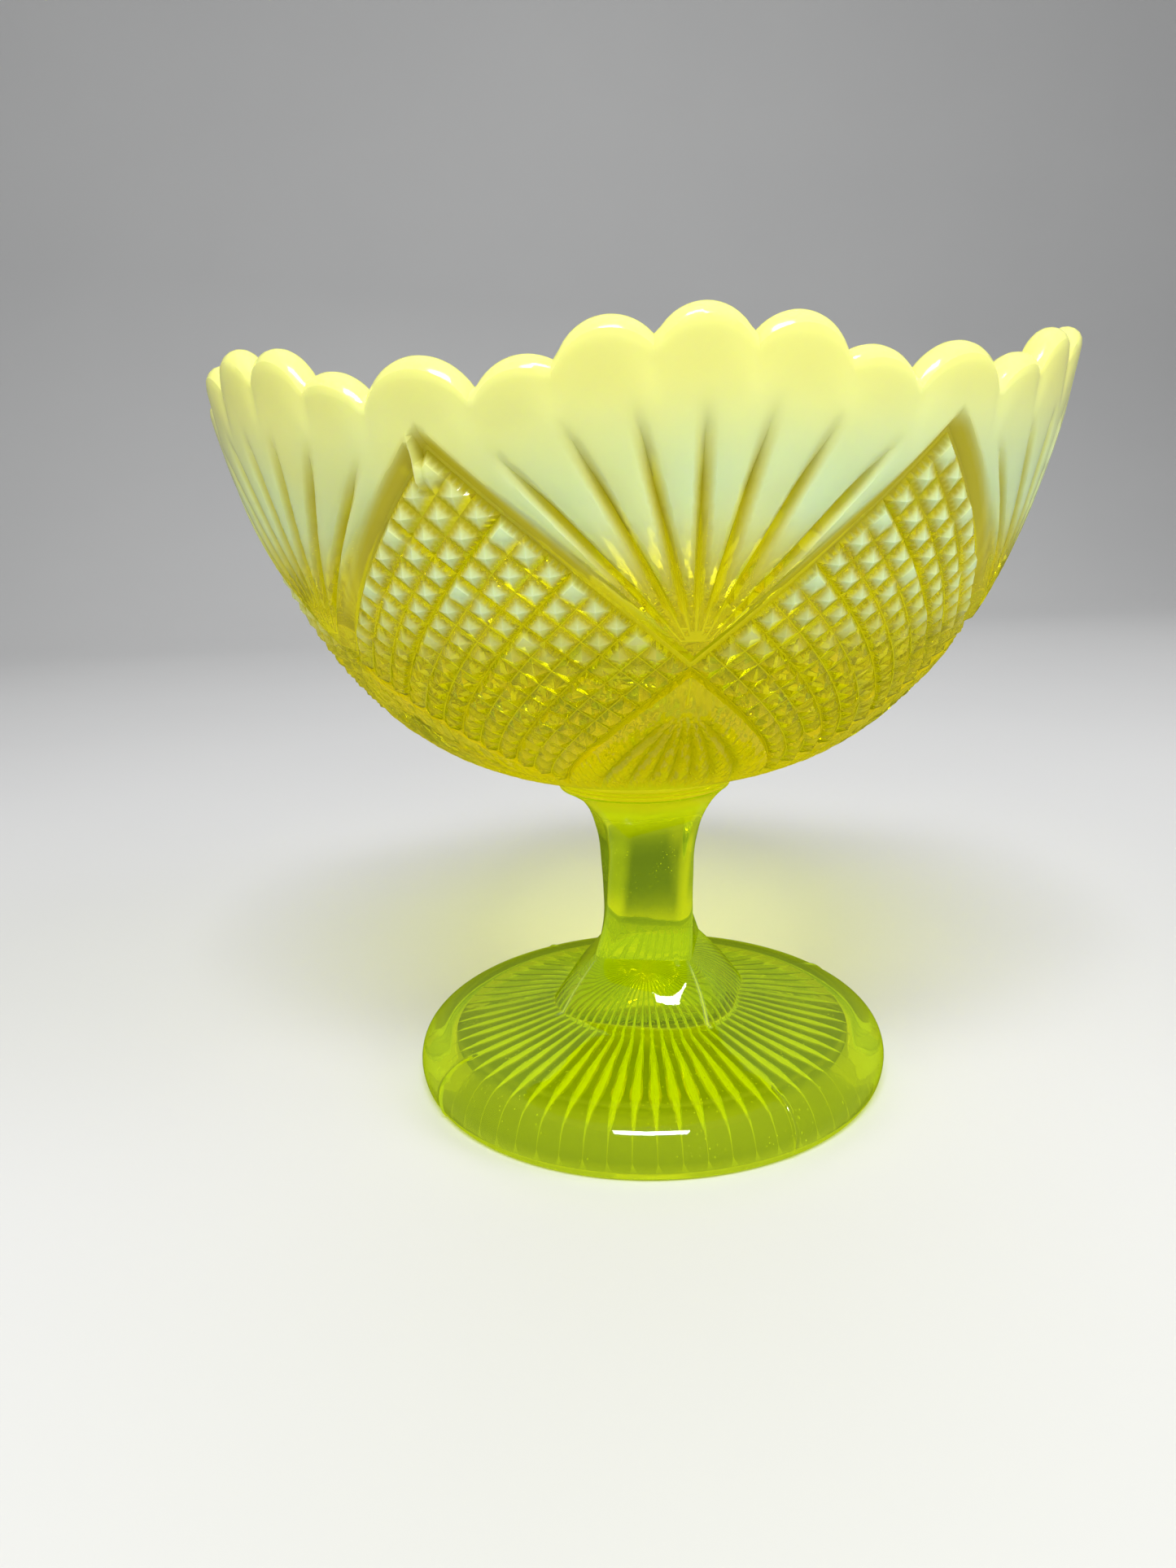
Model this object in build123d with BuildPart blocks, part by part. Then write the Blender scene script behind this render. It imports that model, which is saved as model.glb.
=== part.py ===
from build123d import *
import math
import os

# Footed pressed-glass dish: a scalloped bowl on a square twisted stem with a round foot.
# Origin: centre of the foot's underside. +Z up. A fan of the pattern faces -Y.

# --- Bowl ---------------------------------------------------------------------------
BASE_Z = 75.0            # flat underside of the bowl, where it sits on the wafer
BASE_RADIUS = 21.5
WALL_END_Z = 170.0       # top of the wall before the scallops are cut
WALL_THICKNESS = 5.2
FLOOR_THICKNESS = 9.0    # glass at the middle of the bowl's floor
FLOOR_EDGE_RADIUS = 20.0 # the floor dips by FLOOR_DIP between here and the middle
FLOOR_DIP = 1.0
INSIDE_RIM_DIRECTION = (-0.12, -1)   # direction of the inside profile where it leaves the rim

# Heights at which the profiles of the wall are drawn
OUTSIDE_HEIGHTS = (79, 84, 92, 104, 120, 140, 156, WALL_END_Z)
INSIDE_HEIGHTS = (95, 106, 121, 140, 156, WALL_END_Z)

# Outside of the wall: radius = REACH * (1 - ((TOP - z) / DROP) ** DROP_POWER) ** (1 / REACH_POWER)
WALL_REACH = 96.9
WALL_TOP = 227.3
WALL_DROP = 151.6
DROP_POWER = 2.215
REACH_POWER = 2.795

# --- Pattern: six equal sectors, each a fan between two halves of hobnail diamonds ------
SECTORS = 6
SECTOR_ANGLE = 360 / SECTORS
HALF_SECTOR = SECTOR_ANGLE / 2
DIAMOND_SIDE_Z = 110.0   # side corners of the diamonds, where neighbours touch
DIAMOND_TIP_Z = 148.5    # upper tip of each diamond
DIAMOND_FOOT_Z = 82.0    # lower tip of each diamond
LATTICE_CELLS = 4        # small diamonds along each edge of a big one
RISING_GROOVE_RADIUS = 1.05   # round-bottomed mitre grooves of the lattice
FALLING_GROOVE_RADIUS = 0.95
EDGE_GROOVE_RADIUS = 1.35
EDGE_GROOVE_REACH = 0.92 # share of a big diamond's edge that its groove runs along
FLUTES = 7               # flutes of the fan
FLUTE_RADIUS = 1.6
FLUTE_OFFSET = 0.55      # how far the middle line of a flute's cutter stands off the wall
FAN_APEX_Z = 114.0       # the flutes point at this height, just above the diamonds' side corners
FLUTE_SPREAD = 22.0      # azimuth of the outermost flute's upper end, from the fan's middle
FLUTE_START = 0.36       # how far from the fan's apex the flutes begin, as a share of their length
FLUTE_MIDDLE_TOP_Z = 156.0
FLUTE_OUTER_TOP_Z = 149.0

# --- Scallops of the rim: azimuth from the fan's middle, crown height, crown radius ------
FAN_SCALLOP = (0.0, 168.0, 8.5)
SIDE_SCALLOP = (9.3, 166.6, 9.1)
LOW_SCALLOP = (17.9, 161.7, 10.3)
TIP_SCALLOP = (30.0, 162.7, 11.6)

# Ring of space around the wall's edge that the scallops are cut from
RIM_BAND_INNER = 76.0
RIM_BAND_OUTER = 100.0
RIM_BAND_BOTTOM_Z = 156.4
RIM_BAND_TOP_Z = 172.0

# --- Wafer ----------------------------------------------------------------------------
WAFER_BOTTOM_Z = 73.0
WAFER_RADIUS = 20.9
WAFER_ROUNDING = 0.7

# --- Pedestal --------------------------------------------------------------------------
FOOT_REST_RADIUS = 56.3
FOOT_RADIUS = 57.8
FOOT_WIDEST_Z = 6.0
FOOT_SHOULDER = (55.9, 11.0)     # radius and height
FOOT_CONE_START = (49.0, 14.0)   # where the thick rim turns into the cone
FOOT_REST_DIRECTION = (0.5, 1)   # direction of the rim's profile where it leaves the table
FOOT_CONE_DIRECTION = (-1, 0.2)  # and where it meets the cone
FLARE_RING_RADIUS = 24.0
FLARE_RING_Z = 19.0
STEM_BASE_Z = 31.5

RECESS_RADIUS = 50.0     # inner edge of the ring that the dish stands on
RECESS_WALL = (47.5, 5.0)
RECESS_BEND = (22.0, 12.5)
RECESS_BEND_DIRECTION = (-1, 0.6)
RECESS_TOP_Z = 22.0
LEVEL_INWARDS = (-1, 0)

RAYS = 60
RAY_INNER_RADIUS = 17.0
RAY_OUTER_RADIUS = 46.5
RAY_WIDEST_RADIUS = 40.0
RAY_DEPTH = 1.3

# Stem sections: height, half width across flats, corner radius, azimuth of a corner
STEM_SECTIONS = (
    (STEM_BASE_Z, 11.9, 3.5, 60.0),
    (40.0, 10.7, 3.2, 50.0),
    (50.0, 10.3, 3.2, 44.0),
    (60.0, 10.7, 3.8, 38.0),
    (66.5, 12.8, 6.5, 34.0),
    (70.0, 15.8, 11.5, 32.0),
    (WAFER_BOTTOM_Z, 20.5, 20.4, 30.0),
)
FLARE_SECTION = (FLARE_RING_Z, 22.3, 15.8, 64.5)


def wall_radius(height):
    """Radius of the bowl's outside at a height."""
    drop = (WALL_TOP - height) / WALL_DROP
    return WALL_REACH * (1 - drop**DROP_POWER) ** (1 / REACH_POWER)


def wall_height(radius):
    """Height of the bowl's outside at a radius."""
    share = 1 - (radius / WALL_REACH) ** REACH_POWER
    return WALL_TOP - WALL_DROP * share ** (1 / DROP_POWER)


def wall_lean(height):
    """Angle of the wall from vertical at a height, in degrees."""
    step = 0.5
    rise = wall_radius(height + step) - wall_radius(height - step)
    return math.degrees(math.atan2(rise, 2 * step))


def on_wall(azimuth, height, outwards=0.0):
    """Point on the bowl's outside. Azimuth 0 is -Y, and it grows towards +X."""
    turn = math.radians(azimuth)
    radius = wall_radius(height) + outwards
    return Vector(radius * math.sin(turn), -radius * math.cos(turn), height)


def diamond_point(across, up, centre):
    """Point in a big diamond: across and up run from -1 to 1 between its corners."""
    climb = (DIAMOND_TIP_Z - DIAMOND_FOOT_Z) / 2
    bend = (DIAMOND_TIP_Z + DIAMOND_FOOT_Z) / 2 - DIAMOND_SIDE_Z
    height = DIAMOND_SIDE_Z + climb * up + bend * up**2
    return on_wall(centre + across * HALF_SECTOR, height)


def groove(start, middle, end, radius):
    """Round-bottomed cutter that runs along an arc through three points."""
    with BuildPart() as cutter:
        with BuildLine():
            path = ThreePointArc(start, middle, end)
        with BuildSketch(Plane(origin=path @ 0, z_dir=path % 0)):
            Circle(radius)
        sweep()
    return cutter.part


def fan_flutes(centre):
    """Cutters for one fan: flutes that spread upwards from the apex."""
    middle_flute = (FLUTES - 1) / 2
    cutters = []
    for index in range(FLUTES):
        share = (index - middle_flute) / middle_flute
        top_z = FLUTE_MIDDLE_TOP_Z - (FLUTE_MIDDLE_TOP_Z - FLUTE_OUTER_TOP_Z) * share**2
        points = []
        for along in (FLUTE_START, (1 + FLUTE_START) / 2, 1):
            height = FAN_APEX_Z + along * (top_z - FAN_APEX_Z)
            points.append(on_wall(centre + share * FLUTE_SPREAD * along, height, FLUTE_OFFSET))
        cutters.append(groove(*points, FLUTE_RADIUS))
    return cutters


def mitre_grooves(centre, slope, mitre_radius):
    """Cutters for one big diamond: the grooves that rise (slope 1) or fall (slope -1) to the right."""
    cutters = []
    for line in range(LATTICE_CELLS + 1):
        side = 2 * line / LATTICE_CELLS - 1
        on_edge = abs(side) == 1
        reach = EDGE_GROOVE_REACH if on_edge else 1
        points = []
        for along in (-reach, 0, reach):
            across = (along - side) / 2 * slope
            up = (along + side) / 2
            points.append(diamond_point(across, up, centre))
        cutters.append(groove(*points, EDGE_GROOVE_RADIUS if on_edge else mitre_radius))
    return cutters


def inside_point(height):
    """Radius and height on the inside of the wall, whose thickness is the same everywhere."""
    lean = math.radians(wall_lean(height - WALL_THICKNESS / 2))
    return (wall_radius(height) - WALL_THICKNESS / math.cos(lean), height)


def scallop(fan_azimuth, size, side=1):
    """Round plug through the wall, level across it, whose top is one scallop's crown."""
    azimuth, crown_z, crown_radius = size
    turn = math.radians(fan_azimuth + side * azimuth)
    outward = Vector(math.sin(turn), -math.cos(turn), 0)
    start = outward * RIM_BAND_INNER + Vector(0, 0, crown_z - crown_radius)
    with BuildPart() as plug:
        with BuildSketch(Plane(origin=start, z_dir=outward)):
            Circle(crown_radius)
        extrude(amount=RIM_BAND_OUTER - RIM_BAND_INNER)
    return plug.part


def stem_outline(section):
    """Square with rounded corners across the stem, at the section's height and turn."""
    height, half_width, corner_radius, corner_azimuth = section
    with BuildSketch(Plane.XY.offset(height)) as outline:
        RectangleRounded(
            2 * half_width, 2 * half_width, corner_radius, rotation=45 - corner_azimuth
        )
    return outline.sketch


os.makedirs("parts", exist_ok=True)

fan_centres = [SECTOR_ANGLE * sector for sector in range(SECTORS)]

scallops = []
flutes = []
rising_grooves = []
falling_grooves = []
for fan_centre in fan_centres:
    scallops.append(scallop(fan_centre, FAN_SCALLOP))
    scallops.append(scallop(fan_centre, TIP_SCALLOP))
    for side in (1, -1):
        scallops.append(scallop(fan_centre, SIDE_SCALLOP, side))
        scallops.append(scallop(fan_centre, LOW_SCALLOP, side))
    flutes += fan_flutes(fan_centre)
    diamond_centre = fan_centre + HALF_SECTOR
    rising_grooves += mitre_grooves(diamond_centre, 1, RISING_GROOVE_RADIUS)
    falling_grooves += mitre_grooves(diamond_centre, -1, FALLING_GROOVE_RADIUS)

with BuildPart() as rim_waste:
    with BuildSketch(Plane.XY.offset(RIM_BAND_BOTTOM_Z)):
        Circle(RIM_BAND_OUTER)
        Circle(RIM_BAND_INNER, mode=Mode.SUBTRACT)
    extrude(amount=RIM_BAND_TOP_Z - RIM_BAND_BOTTOM_Z)
    add(scallops, mode=Mode.SUBTRACT)

floor_z = BASE_Z + FLOOR_THICKNESS
floor_points = [(0, floor_z), (FLOOR_EDGE_RADIUS, floor_z + FLOOR_DIP)]
inside = floor_points + [inside_point(z) for z in INSIDE_HEIGHTS]
outside_start = (BASE_RADIUS, wall_height(BASE_RADIUS))
outside = [outside_start] + [(wall_radius(z), z) for z in OUTSIDE_HEIGHTS]

with BuildPart() as bowl:
    with BuildSketch(Plane.XZ):
        with BuildLine():
            Spline(*outside)
            Line(outside[-1], inside[-1])
            Spline(*reversed(inside), tangents=[INSIDE_RIM_DIRECTION, LEVEL_INWARDS])
            Polyline(inside[0], (0, BASE_Z), (BASE_RADIUS, BASE_Z), outside_start)
        make_face()
    revolve(axis=Axis.Z)
    add(rim_waste.part, mode=Mode.SUBTRACT)
    add(flutes, mode=Mode.SUBTRACT)
    add(rising_grooves, mode=Mode.SUBTRACT)
    add(falling_grooves, mode=Mode.SUBTRACT)

bowl.part.label = "bowl"
export_step(bowl.part, "parts/bowl.step")

# The wafer is the short collar of glass that joins the bowl to the stem.
with BuildPart() as wafer:
    with BuildSketch(Plane.XY.offset(WAFER_BOTTOM_Z)):
        Circle(WAFER_RADIUS)
    extrude(amount=BASE_Z - WAFER_BOTTOM_Z)
    fillet(wafer.edges().filter_by(GeomType.CIRCLE), radius=WAFER_ROUNDING)

wafer.part.label = "wafer"
export_step(wafer.part, "parts/wafer.step")

with BuildPart() as ray:
    with BuildSketch(Plane.XZ):
        with BuildLine():
            Polyline(
                (RAY_INNER_RADIUS, 0),
                (RAY_WIDEST_RADIUS, RAY_DEPTH),
                (RAY_OUTER_RADIUS, 0),
                close=True,
            )
        make_face()
    revolve(axis=Axis.X)

recess_run = RECESS_WALL[0] - RECESS_BEND[0]
recess_rise = RECESS_BEND[1] - RECESS_WALL[1]
recess_slope = math.degrees(math.atan2(recess_rise, recess_run))
ray_lift = RECESS_WALL[1] + RECESS_WALL[0] * recess_rise / recess_run

with BuildPart() as pedestal:
    with BuildSketch(Plane.XZ):
        with BuildLine():
            Spline(
                (FOOT_REST_RADIUS, 0),
                (FOOT_RADIUS, FOOT_WIDEST_Z),
                FOOT_SHOULDER,
                FOOT_CONE_START,
                tangents=[FOOT_REST_DIRECTION, FOOT_CONE_DIRECTION],
            )
            Polyline(
                FOOT_CONE_START,
                (FLARE_RING_RADIUS, FLARE_RING_Z),
                (0, FLARE_RING_Z),
                (0, 0),
                (FOOT_REST_RADIUS, 0),
            )
        make_face()
    revolve(axis=Axis.Z)
    add(stem_outline(FLARE_SECTION))
    add(stem_outline(STEM_SECTIONS[0]))
    loft()
    for section in STEM_SECTIONS:
        add(stem_outline(section))
    loft()
    with BuildSketch(Plane.XZ):
        with BuildLine():
            Polyline((0, 0), (RECESS_RADIUS, 0), RECESS_WALL, RECESS_BEND)
            Spline(
                RECESS_BEND,
                (0, RECESS_TOP_Z),
                tangents=[RECESS_BEND_DIRECTION, LEVEL_INWARDS],
            )
            Line((0, RECESS_TOP_Z), (0, 0))
        make_face()
    revolve(axis=Axis.Z, mode=Mode.SUBTRACT)
    with PolarLocations(0, RAYS):
        with Locations(Location((0, 0, ray_lift), (0, recess_slope, 0))):
            add(ray.part, mode=Mode.SUBTRACT)

pedestal.part.label = "pedestal"
export_step(pedestal.part, "parts/pedestal.step")
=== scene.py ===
import math

import bpy
import numpy as np
from mathutils import Matrix, Vector


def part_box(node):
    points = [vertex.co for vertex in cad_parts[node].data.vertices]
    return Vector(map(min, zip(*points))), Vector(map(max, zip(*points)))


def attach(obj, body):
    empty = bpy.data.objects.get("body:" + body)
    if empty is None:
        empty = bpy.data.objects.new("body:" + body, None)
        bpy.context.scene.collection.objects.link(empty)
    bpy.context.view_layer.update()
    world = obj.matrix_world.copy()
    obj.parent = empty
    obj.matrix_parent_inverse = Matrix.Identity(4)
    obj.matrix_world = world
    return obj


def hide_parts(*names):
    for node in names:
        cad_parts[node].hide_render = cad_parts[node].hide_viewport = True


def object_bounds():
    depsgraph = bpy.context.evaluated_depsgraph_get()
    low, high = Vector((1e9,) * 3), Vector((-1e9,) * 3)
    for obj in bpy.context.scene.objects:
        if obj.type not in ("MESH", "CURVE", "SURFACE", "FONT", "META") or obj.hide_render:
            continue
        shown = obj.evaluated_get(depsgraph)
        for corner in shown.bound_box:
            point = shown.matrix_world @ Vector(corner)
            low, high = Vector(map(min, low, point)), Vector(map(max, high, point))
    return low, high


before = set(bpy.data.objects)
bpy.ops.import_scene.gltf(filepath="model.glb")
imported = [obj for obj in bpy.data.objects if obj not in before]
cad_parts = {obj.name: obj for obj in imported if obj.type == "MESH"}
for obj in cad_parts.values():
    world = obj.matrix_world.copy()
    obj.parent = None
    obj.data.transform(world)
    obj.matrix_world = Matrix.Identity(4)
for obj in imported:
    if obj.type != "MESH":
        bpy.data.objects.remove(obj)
cad_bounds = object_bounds()

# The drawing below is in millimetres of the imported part. MM turns them into metres.
DRAWING_HEIGHT = 168.0
MM = (cad_bounds[1][2] - cad_bounds[0][2]) / DRAWING_HEIGHT
BOWL_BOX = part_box("bowl")
WAFER_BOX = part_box("wafer")
PEDESTAL_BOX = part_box("pedestal")
BASE_Z = BOWL_BOX[0][2] / MM
WAFER_Z = WAFER_BOX[0][2] / MM
FOOT_RADIUS = (PEDESTAL_BOX[1][0] - PEDESTAL_BOX[0][0]) / 2 / MM
WAFER_RADIUS = (WAFER_BOX[1][0] - WAFER_BOX[0][0]) / 2 / MM

# --- Pattern coordinates ------------------------------------------------------------
# across: azimuth from the fan's middle, 1 at the middle of the next diamond (30 degrees).
# up: 0 at the side corners of the diamonds, 1 at their upper tips, -1 at their lower tips.
SECTORS = 6
HALF_SECTOR = math.radians(180 / SECTORS)
STEPS = 48                       # mesh steps in one unit of across and of up
UP_RISE = 33.25
UP_BEND = 5.25
SIDE_CORNER_Z = 110.0
WARP_START = 1.0625              # above this the rows follow the scalloped edge
LOWEST_UP = -1.25

WALL_REACH = 96.9
WALL_TOP = 227.3
WALL_DROP = 151.6
DROP_POWER = 2.215
REACH_POWER = 2.795
RIM_RADIUS_FOR_ARCS = 90.0

LIP_RADIUS = 2.7
LIP_STEPS = 8
WARPED_ROWS = 15
INNER_ROWS = 30
BOWL_BASE_RADIUS = 21.5
JOINT_GAP = 0.03
JOINT_RADIUS = 19.9
BOWL_BASE_OUTLINE = (            # radius, and height above the bowl's underside
    (JOINT_RADIUS, 0.0),
    (BOWL_BASE_RADIUS - 0.6, 0.0),
    (BOWL_BASE_RADIUS, 0.4),
    (BOWL_BASE_RADIUS, 1.2),
)
FLOOR_EXTRA = 3.0                # how much thicker the bowl's floor is than its edge
INSIDE_WAVES = 0.25

# Stem sections: height, half width across flats, corner radius, azimuth of a corner
STEM_SECTIONS = (
    (31.5, 11.9, 3.5, 60.0),
    (40.0, 10.7, 3.2, 50.0),
    (50.0, 10.3, 3.2, 44.0),
    (60.0, 10.7, 3.8, 38.0),
    (66.5, 12.8, 6.5, 34.0),
    (70.0, 15.8, 11.5, 32.0),
    (WAFER_Z, 20.5, 20.4, 30.0),
)
FLARE_SECTION = (19.0, 22.3, 15.8, 64.5)
STEM_ROWS = 44
FLARE_ROWS = 10
FLARE_BULGE = 0.8

# Foot, as radius and height: cone, thick rim, ring it stands on, and hollow underside
FOOT_CONE = ((27.0, 18.4), (32, 17.3), (37, 16.3), (42, 15.3), (46, 14.6), (49, 13.9))
FOOT_RIM = ((49, 13.9), (53.5, 12.4), (56.6, 9.6), (FOOT_RADIUS, 6), (57.4, 2.4), (56.3, 0.4))
FOOT_RIM_STEPS = 5
FOOT_REST = ((55.6, 0.0), (53, 0.0), (50.6, 0.0), (50.0, 0.3))
RECESS_WALL = ((49.2, 2.0), (48.3, 4.0), (47.5, 5.0))
RECESS_BEND = (22, 12.5)
RECESS_TOP = 22.0
RECESS_SLOPE_ROWS = 22
RECESS_DOME_ROWS = 12
# A painted highlight line runs round the foot at this radius
RIM_CREASE = 49.5                # radius of the lit line between cone and rim
RAYS = 60
RAY_COLUMNS = 8
RAY_INNER = 15.0
RAY_OUTER = 49.0
RAY_WIDEST = 40.0
RAY_DEPTH = 1.5
# Strengths of the painted shade on the stem's flat faces and in the gaps between the foot's rays
STEM_PAINTED_SHADE = 0.85
GAP_PAINTED_SHADE = 0.9
STEM_TWIST = -34.0               # degrees from the collar down to the foot
FOOT_SEAM_HEIGHT = 0.35
WAFER_COLUMNS = 240

# Camera, from the proportions of the view: degrees, and millimetres of the drawing
CAMERA_AZIMUTH = -7.0
CAMERA_YAW = -2.82
CAMERA_PITCH = 14.14
CAMERA_ROLL = 2.10
CAMERA_DISTANCE = 276.3
CAMERA_HEIGHT = 142.15
CAMERA_LENS = 27.03

HOBNAIL = 1 / 6                  # hobnail spacing, in pattern units
MITRE_SPACING = 0.5
HOBNAIL_TOP = 0.1                # hobnail tips stand this far outside the plain wall
HOBNAIL_HEIGHT = 1.35
MITRE_DEPTH = 0.6                # how far a mitre groove goes below the hobnails' feet
MITRE_HALF_WIDTH = 1 / 24
BORDER_MIDDLE = -1 / 48          # the groove beside the diamonds' upper edges: its lowest line
BORDER_FAN_SIDE = 0.085          # width of its long wall, which climbs to the fan
BORDER_LATTICE_SIDE = 0.04
BORDER_DEPTH = 1.9
FAN_TOP = 0.55                   # crests of the fan's lobes, above the plain wall

FAN_APEX_UP = 0.115
LOWER_FAN_APEX_UP = -0.22
FAN_STEP = math.radians(13.2)    # angle between flutes, in pattern coordinates
SIDE_FLUTES = 3                  # flutes on each side of the middle one
FLUTE_DEPTH = 1.6
FLUTE_GROWTH = (0.10, 0.42)      # reach from the apex over which flutes get their depth
FLUTE_END = 1.065                # reach at which the middle flute ends
FLUTE_END_GAIN = 0.013           # how much further out the others end
FLUTE_FADE = 0.38                # length over which a flute runs out
FLUTE_HALF_WIDTH = 0.020         # at the apex
FLUTE_WIDTH_GAIN = 0.016         # what it gains by a reach of 1
LOBE_DEPTH = 0.8                 # how far a lobe falls off towards its flutes
FAN_RUNS_OUT = (1.0, 1.45)       # heights up between which the fan's lobes die out
LOWER_FLUTE_DEPTH = 0.7
LOWER_FLUTE_HALF_WIDTH = 0.035
LOWER_LOBE_DEPTH = 0.6
LOWER_FAN_TOP = -0.1
MIDDLE_LINE_DEPTH = 0.4          # groove on the line that goes down from the side corners
LOWER_EDGE_DEPTH = 0.5           # groove along the diamonds' lower edges

MOULD_SEAM = -31.3               # azimuth in degrees of a seam of the four-part mould
SEAM_HEIGHT = 0.9
SEAM_HALF_WIDTH = 0.6            # degrees
FOOT_SEAM_HALF_WIDTH = 0.8
# The flare's lit corner lines are painted highlights, partly milky
RIDGE_HALF_WIDTH = 1.6           # of the lit corner lines of the flare

# --- Glass: linear colours, and lengths in metres ------------------------------------
GLASS_IOR = 1.5
GLASS_TINT = (0.970, 0.967, 0.0, 1)
GLASS_DENSITY = 650.0
# Painted glow: colours of light that the glass gives out by itself, standing in for the
# fluorescence of uranium glass
BOWL_GLOW = (1.0, 0.86, 0.0, 1)
FOOT_GLOW = (0.68, 1.0, 0.0, 1)
PALE_OPAL = (0.68, 0.87, 0.56, 1)
CREAM_OPAL = (0.86, 0.86, 0.26, 1)
AMBER_OPAL = (0.58, 0.50, 0.015, 1)
BOWL_CLEAR = (0.93, 0.91, 0.12, 1)
FOOT_CLEAR = (0.87, 0.89, 0.08, 1)
# Colours of the painted highlight lines, glints and glow, lit as frosted glass
BOWL_LIT = (0.88, 0.82, 0.03, 1)
FOOT_LIT = (0.80, 0.90, 0.03, 1)
# Each look ends with the strengths of the painted glow and of the painted glints
BOWL_LOOK = (BOWL_CLEAR, BOWL_LIT, BOWL_GLOW, 15.0, 0.6)     # and strengths of glow and specks
FOOT_LOOK = (FOOT_CLEAR, FOOT_LIT, FOOT_GLOW, 17.0, 1.0)
# Painted shade: the deeper tint laid on what shows through the glass where the shade attribute is
# set
PAINTED_SHADE_TINT = (0.30, 0.38, 0.03, 1)
EDGE_SHEEN = (0.62, 0.72, 0.06, 1)
SHADOW_TINT = (0.66, 0.70, 0.06, 1)

MILK_TURNS_CREAM = (138, 162)    # heights in millimetres of the drawing
MILK_ROUGHNESS = 0.13
MILK_DEPTH = (0.0016, 0.0018, 0.0007)    # how far light spreads in milky glass
MILK_SHADOW = (0.26, 0.28, 0.06, 1)      # light let through by milky glass
# DARK_SHADOW: light let through by the parts with painted shade, whose cast shadows are deeper too
DARK_SHADOW = (0.30, 0.35, 0.02, 1)      # and by the deeply tinted parts
STREAK_SCALE = 60.0
MOTTLE_SCALE = 25.0
RIPPLE_SCALE = 140.0
GRAIN_SCALE = 700.0
# Size of the painted glints, and of the patches they show in
PAINTED_GLINT_SCALE = 900.0
PATCH_SCALE = 90.0

# Scallops: azimuth in degrees from the fan's middle, crown height, crown radius
SCALLOPS = ((0.0, 168.0, 8.5), (9.3, 166.6, 9.1), (17.9, 161.7, 10.3), (30.0, 162.7, 11.6))
NOTCHES = (5.0, 15.0, 23.75)     # degrees from the fan's middle

# Softboxes: name, azimuth and elevation in degrees, distance, size, watts, seen in the glass
SOFTBOXES = (
    ("key", -8, 56, 1.05, (0.52, 0.20), 10.8, True),
    ("fill", -75, 30, 1.2, (0.6, 0.9), 2.5, False),
    ("side", 62, 30, 1.2, (0.5, 0.9), 6.0, False),
    ("back", 172, 48, 1.2, (0.9, 0.5), 4.5, False),
)
WORLD_COLOR = (0.95, 0.97, 1.0, 1)
WORLD_STRENGTH = 0.22
FLOOR_COLORS = ((0.60, 0.60, 0.60, 1), (0.66, 0.66, 0.655, 1))

LOOKS = ("opal", "amber", "bright", "painted_glow", "shade", "joint")


class Ring:
    """One closed row of mesh points round the axis, with the look of the glass along it.

    opal: 0 clear, 1 milky. amber: 0 pale, 1 deep yellow. bright: painted highlight lines, lit
    where grooves and corners would collect light. haze: painted soft glow of the glass.
    shade: painted shade, a deeper tint on what shows through. joint: inside the glass, where
    two pieces meet."""

    def __init__(self, radius, height, azimuth, **looks):
        keys = ("radius", "height", "azimuth") + LOOKS
        values = (radius, height, azimuth) + tuple(looks.get(look, 0.0) for look in LOOKS)
        for key, value in zip(keys, np.broadcast_arrays(*values)):
            setattr(self, key, value)


def smoothstep(low, high, value):
    t = np.clip((value - low) / (high - low), 0, 1)
    return t * t * (3 - 2 * t)


def wall_radius(z):
    share = 1 - (np.clip(WALL_TOP - z, 0, WALL_DROP) / WALL_DROP) ** DROP_POWER
    return WALL_REACH * np.maximum(share, 1e-9) ** (1 / REACH_POWER)


def height_at(up):
    return SIDE_CORNER_Z + UP_RISE * up + UP_BEND * up**2


def up_at(z):
    return (-UP_RISE + np.sqrt(UP_RISE**2 + 4 * UP_BEND * (z - SIDE_CORNER_Z))) / (2 * UP_BEND)


def wall_normal(z):
    """Outward normal of the wall, as its radial and vertical parts."""
    step = 0.05
    slope = (wall_radius(z + step) - wall_radius(z - step)) / (2 * step)
    length = np.sqrt(1 + slope**2)
    return 1 / length, -slope / length


def rim_height(across):
    """Height of the scalloped edge at abs(across)."""
    top = np.zeros_like(across)
    for azimuth, crown_z, radius in SCALLOPS:
        for mirror in (1, -1):
            offset = across * HALF_SECTOR - mirror * math.radians(azimuth)
            distance = RIM_RADIUS_FOR_ARCS * offset
            inside = np.abs(distance) < radius
            arc = crown_z - radius + np.sqrt(np.where(inside, radius**2 - distance**2, 0))
            top = np.maximum(top, np.where(inside, arc, 0))
    return top


def triangle_wave(value, period):
    """0 at multiples of the period, 1 half way between them."""
    return 1 - np.abs(value / period - np.floor(value / period) - 0.5) * 2


def ridge_line(distance):
    """1 on a line of the mesh, 0 one mesh step away from it."""
    return np.clip(1 - distance * STEPS, 0, 1)


def flute_lines(fan_reach):
    """Places across of the middle flute and of those on one side, at a reach from the apex."""
    return [fan_reach * math.tan(FAN_STEP * flute) for flute in range(SIDE_FLUTES + 1)]


def fan_lobes(x, fan_reach, border):
    """Lobe profile, 0 at its edges and 1 at its crest, and the distance to the nearest flute."""
    lines = flute_lines(np.maximum(fan_reach, 0))
    lobe = np.zeros_like(x)
    for low, high in zip(lines, lines[1:] + [border]):
        t = (x - low) / np.maximum(high - low, 1 / STEPS)
        lobe = np.where((x >= low) & (x < high), 4 * t * (1 - t), lobe)
    to_flute = np.min([np.abs(x - line) for line in lines], axis=0)
    return np.clip(lobe, 0, 1), to_flute


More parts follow.
